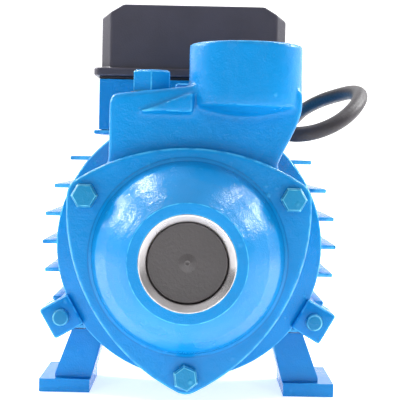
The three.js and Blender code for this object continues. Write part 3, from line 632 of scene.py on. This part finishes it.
def ramped(tree, value, low, high):
    # a value stretched so that low becomes 0 and high becomes 1
    node = tree.nodes.new("ShaderNodeMapRange")
    node.interpolation_type = "SMOOTHSTEP"
    node.inputs["From Min"].default_value = low
    node.inputs["From Max"].default_value = high
    tree.links.new(value, node.inputs["Value"])
    return node.outputs["Result"]


def computed(tree, operation, first, second):
    node = tree.nodes.new("ShaderNodeMath")
    node.operation = operation
    node.use_clamp = operation in ("MULTIPLY", "ADD")
    for socket, value in zip(node.inputs, (first, second)):
        if isinstance(value, (int, float)):
            socket.default_value = value
        else:
            tree.links.new(value, socket)
    return node.outputs[0]


def mixed(tree, mask, first, second, share=None):
    # one colour to another by a mask
    node = tree.nodes.new("ShaderNodeMix")
    node.data_type = "RGBA"
    tree.links.new(mask if share is None else computed(tree, "MULTIPLY", mask, share),
        node.inputs["Factor"])
    for socket, value in ((node.inputs["A"], first), (node.inputs["B"], second)):
        colours = [s for s in node.inputs if s.name == socket.name and s.type == "RGBA"]
        if isinstance(value, tuple):
            colours[0].default_value = (*value, 1)
        else:
            tree.links.new(value, colours[0])
    return [s for s in node.outputs if s.type == "RGBA"][0]


def bumped(tree, height, distance, strength, onto=None):
    node = tree.nodes.new("ShaderNodeBump")
    node.inputs["Distance"].default_value = distance
    node.inputs["Strength"].default_value = strength
    tree.links.new(height, node.inputs["Height"])
    if onto is not None:
        tree.links.new(onto, node.inputs["Normal"])
    return node.outputs["Normal"]


# limits of the edge mask (painted highlight on enamel, rubbed wear on plastic and metal) and of the hollow
# mask (painted shade)
sheenWearShadeLimits = {"edgeFrom": 350, "edgeTo": 1100, "hollowFrom": 250, "hollowTo": 900, "flatFrom": 0.0015}


def makeEdgeSheenWearAndShade():
    # 1 along sharp outer edges, broken up by noise, and the hollows' mask beside it; on enamel the edge mask
    # is painted highlight and the hollow mask painted shade, on plastic and metal the edge mask is rubbed
    # wear
    group, start, end = newGroup("edgeSheenWearAndShade", [("Breaks", "NodeSocketFloat", 260.0)],
        [("Edge", "NodeSocketFloat"), ("Hollow", "NodeSocketFloat")])
    bend = group.nodes.new("ShaderNodeAttribute")
    bend.attribute_name = "bend"
    shape = bend.outputs["Fac"]
    noise = objectNoise(group, start.outputs["Breaks"], 4)
    edge = computed(group, "MULTIPLY", ramped(group, shape, sheenWearShadeLimits["edgeFrom"], sheenWearShadeLimits["edgeTo"]),
        ramped(group, noise, 0.3, 0.6))
    group.links.new(edge, end.inputs["Edge"])
    inward = computed(group, "SUBTRACT", 0.0, shape)
    hollow = ramped(group, inward, sheenWearShadeLimits["hollowFrom"], sheenWearShadeLimits["hollowTo"])
    group.links.new(hollow, end.inputs["Hollow"])
    return group


def widestFace(mesh, points):
    # for each vertex the widest face on it, a face's width being twice its area over its outline's length
    loops, faces = len(mesh.loops), len(mesh.polygons)
    corner, area, start = np.empty(loops, dtype=np.int32), np.empty(faces), np.empty(faces, dtype=np.int32)
    edgeOf, ends = np.empty(loops, dtype=np.int32), np.empty(len(mesh.edges) * 2, dtype=np.int32)
    mesh.loops.foreach_get("vertex_index", corner)
    mesh.loops.foreach_get("edge_index", edgeOf)
    mesh.polygons.foreach_get("area", area)
    mesh.polygons.foreach_get("loop_start", start)
    mesh.edges.foreach_get("vertices", ends)
    sides = np.linalg.norm(points[ends[0::2]] - points[ends[1::2]], axis=1)[edgeOf]
    width = 2 * area / np.maximum(np.add.reduceat(sides, start), 1e-9)
    widest = np.zeros(len(mesh.vertices))
    np.maximum.at(widest, corner, np.repeat(width, np.diff(np.append(start, loops))))
    return widest


def measureBend(piece):
    # how sharply the surface turns at each vertex: along each edge e it is -2 n.e / |e|^2, in turns to
    # the metre, and the vertex takes its second highest above zero and second lowest below, evened out
    # with its neighbours'
    mesh = piece.data
    count = len(mesh.vertices)
    points, normals = np.empty(count * 3), np.empty(count * 3, dtype=np.float32)
    ends = np.empty(len(mesh.edges) * 2, dtype=np.int32)
    mesh.vertices.foreach_get("co", points)
    mesh.vertex_normals.foreach_get("vector", normals)
    mesh.edges.foreach_get("vertices", ends)
    points, normals = points.reshape(-1, 3), normals.reshape(-1, 3)
    a, b = ends.reshape(-1, 2).T
    along = points[b] - points[a]
    size = np.maximum((along**2).sum(1), 2.5e-9)
    turns = np.concatenate([-2 * (normals[a] * along).sum(1) / size,
        2 * (normals[b] * along).sum(1) / size])
    owner = np.concatenate([a, b])
    touching = np.bincount(owner, minlength=count)
    first = np.cumsum(touching) - touching
    last = len(owner) - 1
    rising = turns[np.lexsort((turns, owner))]
    second = rising[np.clip(first + 1, 0, last)]
    high = rising[np.clip(first + touching - 2, 0, last)]
    bend = np.where(touching > 1, np.maximum(high, 0) + np.minimum(second, 0), 0)
    nearby = (np.bincount(a, bend[b], count) + np.bincount(b, bend[a], count)) / np.maximum(touching, 1)
    bend = np.where(widestFace(mesh, points) > sheenWearShadeLimits["flatFrom"], 0, 0.5 * (bend + nearby))
    attribute = mesh.attributes.new("bend", "FLOAT", "POINT")
    attribute.data.foreach_set("value", bend.astype(np.float32))


def makeCastSkin():
    # sand-cast lumps under thick paint, with the paint's own fine ripple and a few pimples
    group, start, end = newGroup("castSkin", [("Lumps", "NodeSocketFloat", 210.0)],
        [("Normal", "NodeSocketVector"), ("Pimple", "NodeSocketFloat")])
    lumps = objectNoise(group, start.outputs["Lumps"], 3)
    ripple = objectNoise(group, 1500.0, 2)
    where = group.nodes.new("ShaderNodeTexCoord")
    cells = group.nodes.new("ShaderNodeTexVoronoi")
    cells.inputs["Scale"].default_value = 150.0
    group.links.new(where.outputs["Object"], cells.inputs["Vector"])
    sparse = ramped(group, objectNoise(group, 38.0, 1), 0.48, 0.62)
    pimple = computed(group, "MULTIPLY", ramped(group, cells.outputs["Distance"], 0.2, 0.04), sparse)
    normal = bumped(group, lumps, 0.0005, 0.5)
    normal = bumped(group, ripple, 0.00022, 0.6, normal)
    normal = bumped(group, pimple, 0.0004, 0.6, normal)
    group.links.new(normal, end.inputs["Normal"])
    group.links.new(pimple, end.inputs["Pimple"])
    return group


def makeDust():
    # settled on what faces up, in patches
    group, start, end = newGroup("dust", [("Patches", "NodeSocketFloat", 45.0)],
        [("Dust", "NodeSocketFloat")])
    facing = group.nodes.new("ShaderNodeSeparateXYZ")
    group.links.new(group.nodes.new("ShaderNodeNewGeometry").outputs["Normal"], facing.inputs[0])
    patches = ramped(group, objectNoise(group, start.outputs["Patches"], 5), 0.35, 0.7)
    group.links.new(computed(group, "MULTIPLY", ramped(group, facing.outputs["Z"], 0.4, 1.0), patches),
        end.inputs["Dust"])
    return group


def makeTurned():
    # fine rings left by a lathe about the shaft: noise over the distance from its axis and the length along
    # it, not over the angle round it
    group, start, end = newGroup("turnedRings", [("Rings", "NodeSocketFloat", 900.0)],
        [("Normal", "NodeSocketVector"), ("Streak", "NodeSocketFloat")])
    where = group.nodes.new("ShaderNodeTexCoord")
    away = group.nodes.new("ShaderNodeVectorMath")
    away.operation = "SUBTRACT"
    away.inputs[1].default_value = place((0, 0, 0))
    group.links.new(where.outputs["Object"], away.inputs[0])
    flat = group.nodes.new("ShaderNodeVectorMath")
    flat.operation = "MULTIPLY"
    flat.inputs[1].default_value = (1, 0, 1)
    group.links.new(away.outputs[0], flat.inputs[0])
    size = group.nodes.new("ShaderNodeVectorMath")
    size.operation = "LENGTH"
    group.links.new(flat.outputs[0], size.inputs[0])
    lengthways = group.nodes.new("ShaderNodeSeparateXYZ")
    group.links.new(away.outputs[0], lengthways.inputs[0])
    joinedUp = group.nodes.new("ShaderNodeCombineXYZ")
    group.links.new(size.outputs["Value"], joinedUp.inputs[0])
    group.links.new(lengthways.outputs["Y"], joinedUp.inputs[1])
    noise = group.nodes.new("ShaderNodeTexNoise")
    noise.inputs["Detail"].default_value = 3
    group.links.new(joinedUp.outputs[0], noise.inputs["Vector"])
    group.links.new(start.outputs["Rings"], noise.inputs["Scale"])
    group.links.new(bumped(group, noise.outputs[0], 0.0002, 0.4), end.inputs["Normal"])
    group.links.new(noise.outputs[0], end.inputs["Streak"])
    return group


effects = {"edgeSheenWearAndShade": makeEdgeSheenWearAndShade(), "castSkin": makeCastSkin(), "dust": makeDust(),
    "turnedRings": makeTurned()}


def useGroup(tree, name, **values):
    node = tree.nodes.new("ShaderNodeGroup")
    node.node_tree = effects[name]
    for label, value in values.items():
        node.inputs[label].default_value = value
    return node


# Materials.
def newMaterial(name, roughness, metallic=0.0, **fixed):
    material = bpy.data.materials.new(name)
    material.use_nodes = True
    tree = material.node_tree
    shader = tree.nodes["Principled BSDF"]
    shader.inputs["Roughness"].default_value = roughness
    shader.inputs["Metallic"].default_value = metallic
    for label, value in fixed.items():
        shader.inputs[label.replace("_", " ")].default_value = value
    return material, tree, shader


def enamel(name, colour, light, shadeColour, lumps, roughness):
    # thick gloss paint over a casting: painted highlight along the edges, painted shade in the hollows,
    # painted glints on the pimples, with dust on top
    material, tree, shader = newMaterial(name, roughness, Specular_IOR_Level=0.24)
    sheenWearShade, skin = useGroup(tree, "edgeSheenWearAndShade"), useGroup(tree, "castSkin", Lumps=lumps)
    dust = useGroup(tree, "dust")
    drift = ramped(tree, objectNoise(tree, 26.0, 3), 0.3, 0.7)
    base = mixed(tree, drift, colour, tuple(0.86 * c for c in colour))
    # painted shade: the hollows darkened towards the shade colour
    base = mixed(tree, sheenWearShade.outputs["Hollow"], base, shadeColour, 0.55)
    # painted highlight: the sharp edges paled towards the light colour
    base = mixed(tree, sheenWearShade.outputs["Edge"], base, light, 0.75)
    # painted glint: the pimples paled towards the light colour
    base = mixed(tree, skin.outputs["Pimple"], base, light, 0.25)
    base = mixed(tree, dust.outputs["Dust"], base, (0.55, 0.62, 0.66), 0.05)
    tree.links.new(base, shader.inputs["Base Color"])
    shine = ramped(tree, objectNoise(tree, 90.0, 3), 0.2, 0.8)
    tree.links.new(computed(tree, "ADD", computed(tree, "MULTIPLY", shine, 0.14), roughness - 0.07),
        shader.inputs["Roughness"])
    tree.links.new(skin.outputs["Normal"], shader.inputs["Normal"])
    return material


def moulded(name, colour, roughness, grain, depth, dusty=0.12):
    # moulded plastic or rubber: fine grain, paler rubbed edges, dust on top
    material, tree, shader = newMaterial(name, roughness, Specular_IOR_Level=0.5)
    sheenWearShade, dust = useGroup(tree, "edgeSheenWearAndShade"), useGroup(tree, "dust")
    drift = ramped(tree, objectNoise(tree, 40.0, 4), 0.3, 0.7)
    base = mixed(tree, drift, colour, tuple(0.78 * c for c in colour))
    base = mixed(tree, sheenWearShade.outputs["Edge"], base, tuple(min(1, 2.2 * c + 0.02) for c in colour), 0.6)
    base = mixed(tree, dust.outputs["Dust"], base, (0.36, 0.35, 0.36), dusty)
    tree.links.new(base, shader.inputs["Base Color"])
    fine = objectNoise(tree, grain, 4, 0.6)
    tree.links.new(computed(tree, "ADD", computed(tree, "MULTIPLY", fine, 0.2), roughness - 0.1),
        shader.inputs["Roughness"])
    tree.links.new(bumped(tree, fine, depth, 0.7), shader.inputs["Normal"])
    return material


def machined(name, colour, roughness, rings, stain, metallic=1.0):
    # metal off the lathe: fine rings, slight tarnish, brighter edges
    material, tree, shader = newMaterial(name, roughness, metallic)
    sheenWearShade, turned = useGroup(tree, "edgeSheenWearAndShade"), useGroup(tree, "turnedRings", Rings=rings)
    tarnish = ramped(tree, objectNoise(tree, 70.0, 5), 0.4, 0.75)
    base = mixed(tree, tarnish, colour, stain, 0.6)
    base = mixed(tree, sheenWearShade.outputs["Edge"], base, tuple(min(1, 1.25 * c) for c in colour), 0.6)
    base = mixed(tree, turned.outputs["Streak"], base, tuple(0.8 * c for c in colour), 0.35)
    tree.links.new(base, shader.inputs["Base Color"])
    tree.links.new(computed(tree, "ADD", computed(tree, "MULTIPLY", tarnish, 0.2), roughness - 0.06),
        shader.inputs["Roughness"])
    tree.links.new(turned.outputs["Normal"], shader.inputs["Normal"])
    return material


def stacked(name, colour, sheet, roughness):
    # thin sheets stacked along the shaft: a saw wave in y with the given number of sheets to the metre
    material, tree, shader = newMaterial(name, roughness, 0.9)
    where = tree.nodes.new("ShaderNodeTexCoord")
    parts = tree.nodes.new("ShaderNodeSeparateXYZ")
    tree.links.new(where.outputs["Object"], parts.inputs[0])
    times = tree.nodes.new("ShaderNodeMath")
    times.operation = "MULTIPLY"
    times.inputs[1].default_value = sheet
    tree.links.new(parts.outputs["Y"], times.inputs[0])
    saw = computed(tree, "FRACT", times.outputs[0], 0.0)
    stain = ramped(tree, objectNoise(tree, 120.0, 4), 0.35, 0.7)
    tree.links.new(mixed(tree, stain, colour, tuple(0.6 * c for c in colour)), shader.inputs["Base Color"])
    tree.links.new(bumped(tree, saw, 0.0003, 0.8), shader.inputs["Normal"])
    return material


finishes = {
    # an enamel's third colour is its painted edge highlight and its fourth its painted shade in hollows
    "blue_enamel": enamel("blueEnamel", (0.003, 0.25, 0.63), (0.09, 0.56, 0.90), (0.003, 0.10, 0.32),
        210.0, 0.22),
    "teal_enamel": enamel("tealEnamel", (0.008, 0.24, 0.48), (0.20, 0.68, 0.82), (0.005, 0.07, 0.14),
        420.0, 0.28),
    "black_plastic": moulded("blackPlastic", (0.040, 0.037, 0.056), 0.42, 1500.0, 0.0002),
    "grey_plastic": moulded("greyPlastic", (0.062, 0.056, 0.058), 0.42, 900.0, 0.0002),
    "black_rubber": moulded("blackRubber", (0.022, 0.017, 0.022), 0.50, 700.0, 0.0003, 0.06),
    "fibre": moulded("fibre", (0.05, 0.06, 0.07), 0.8, 1100.0, 0.0004),
    "brass": machined("brass", (0.78, 0.52, 0.22), 0.34, 800.0, (0.42, 0.26, 0.11)),
    "laminations": stacked("laminations", (0.42, 0.42, 0.44), 2000.0, 0.45),
    "copper": stacked("copper", (0.60, 0.22, 0.09), 1300.0, 0.32),
    "ceramic": moulded("ceramic", (0.80, 0.78, 0.73), 0.25, 1200.0, 0.0001, 0.02),
    "carbon": moulded("carbon", (0.02, 0.02, 0.021), 0.38, 1600.0, 0.0001),
    "steel": machined("steel", (0.66, 0.64, 0.65), 0.33, 1100.0, (0.42, 0.38, 0.37)),
}
slotOf = {part["node"]: part["material_slot"] for part in frame["record"]["subparts"]}
for node, piece in frame["nodes"].items():
    piece.material_slots[0].material = finishes[slotOf[node]]
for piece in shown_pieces():
    if "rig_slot" in piece:
        piece.data.materials.clear()
        piece.data.materials.append(finishes[piece["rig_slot"]])
        measureBend(piece)
print("finishes given")

# Floor, world and lamps.
surround = {"front": 0.13, "back": 0.50, "above": 0.45}
floorSet = {"half": 12.0, "flatTo": 0.9, "curve": 0.8, "wallAt": 1.72, "top": 3.0, "glow": 0.72}


def plainWorld(front, back, above):
    # a white surround, dim towards -Y, bright towards +Y and brightest overhead, by the direction's y and z
    world = bpy.data.worlds.new("surround")
    world.use_nodes = True
    tree = world.node_tree
    way = tree.nodes.new("ShaderNodeTexCoord")
    parts = tree.nodes.new("ShaderNodeSeparateXYZ")
    tree.links.new(way.outputs["Generated"], parts.inputs[0])
    behind = computed(tree, "MULTIPLY", ramped(tree, parts.outputs["Y"], -0.7, 0.25), back - front)
    overhead = computed(tree, "MULTIPLY", ramped(tree, parts.outputs["Z"], 0.2, 0.9), above)
    strength = tree.nodes.new("ShaderNodeMath")
    tree.links.new(computed(tree, "ADD", behind, overhead), strength.inputs[0])
    strength.inputs[1].default_value = front
    tree.links.new(strength.outputs[0], tree.nodes["Background"].inputs["Strength"])
    tree.nodes["Background"].inputs["Color"].default_value = (1, 1, 1, 1)
    bpy.context.scene.world = world


def paleFloor():
    # a wide sheet under the feet, its far edge swept up behind
    flat, curve, half = floorSet["flatTo"], floorSet["curve"], floorSet["half"]
    turns = np.linspace(0.15, 1.45, 12)
    sweep = [(flat + curve * math.sin(a), curve - curve * math.cos(a)) for a in turns]
    profile = [(-half, 0.0), (flat, 0.0)] + sweep + [(floorSet["wallAt"], floorSet["top"])]
    points = [(x, y, z) for y, z in profile for x in (-half, half)]
    floor = meshFrom("floor", np.array(points), gridFaces(len(profile), 2, False, False).tolist())
    material, tree, shader = newMaterial("paleFloor", 0.7)
    shader.inputs["Specular IOR Level"].default_value = 0.2
    tint = mixed(tree, ramped(tree, objectNoise(tree, 9.0, 3), 0.3, 0.7), (0.88, 0.88, 0.885),
        (0.91, 0.91, 0.915))
    tree.links.new(tint, shader.inputs["Base Color"])
    shader.inputs["Emission Color"].default_value = (1, 1, 1, 1)
    shader.inputs["Emission Strength"].default_value = floorSet["glow"]
    floor.data.materials.append(material)


def lamp(name, way, distance, width, height, power):
    # an area lamp on a sphere about the dome, facing it
    data = bpy.data.lights.new(name, "AREA")
    data.shape = "RECTANGLE"
    data.size, data.size_y, data.energy = width, height, power
    light = bpy.data.objects.new(name, data)
    bpy.context.collection.objects.link(light)
    way = Vector(way).normalized()
    light.location = Vector(place((0, -60, 0))) + way * distance
    light.rotation_mode = "QUATERNION"
    light.rotation_quaternion = way.to_track_quat("Z", "Y")


plainWorld(**surround)
paleFloor()
lamps = {   # direction from the dome, distance, width, height, watts
    "leftTall": ((-0.80, 0.40, 0.46), 0.9, 0.14, 0.18, 4.6),
    "leftHigh": ((-0.50, 0.40, 0.77), 0.9, 0.14, 0.14, 4.2),
    "rightTall": ((0.80, 0.40, 0.46), 0.9, 0.14, 0.18, 4.6),
    "rightHigh": ((0.50, 0.40, 0.77), 0.9, 0.14, 0.14, 4.2),
    "leftWall": ((-0.45, -0.74, 0.50), 1.2, 0.30, 0.40, 1.8),
    "rightWall": ((0.45, -0.74, 0.50), 1.2, 0.30, 0.40, 1.8),
}
for name, values in lamps.items():
    lamp(name, *values)
bpy.context.scene.view_settings.view_transform = "Standard"

print("scene done")
